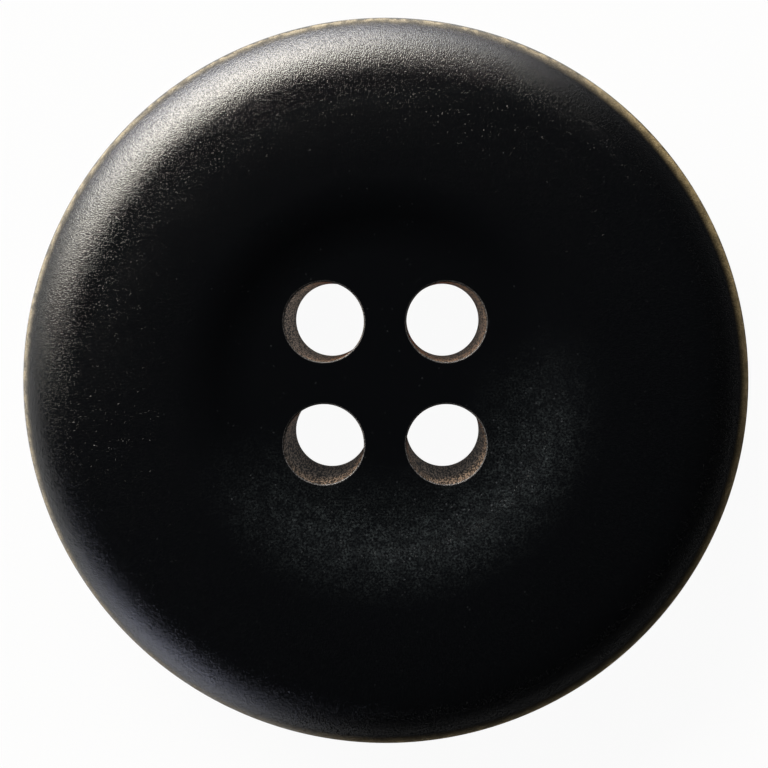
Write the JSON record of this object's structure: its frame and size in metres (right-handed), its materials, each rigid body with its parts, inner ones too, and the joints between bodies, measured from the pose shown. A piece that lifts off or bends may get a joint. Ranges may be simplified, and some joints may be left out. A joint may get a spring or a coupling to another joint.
{
  "type": "sew-through button",
  "caption": "Round dished button with a rounded rim and a square of sewing holes through its flat floor, sewn to cloth as a fastening.",
  "frame": {"origin": "centre of the flat back, on the axis of the disc", "axes": "+Z out of the dished face, along the axis of the disc; X and Y along the rows of sewing holes"},
  "size_m": [0.0203, 0.0202, 0.0033],
  "materials": {
    "button": "dyed black, satin polish over a fine radial grain"
  },
  "bodies": {
    "root": {"button": "button"}
  },
  "joints": []
}
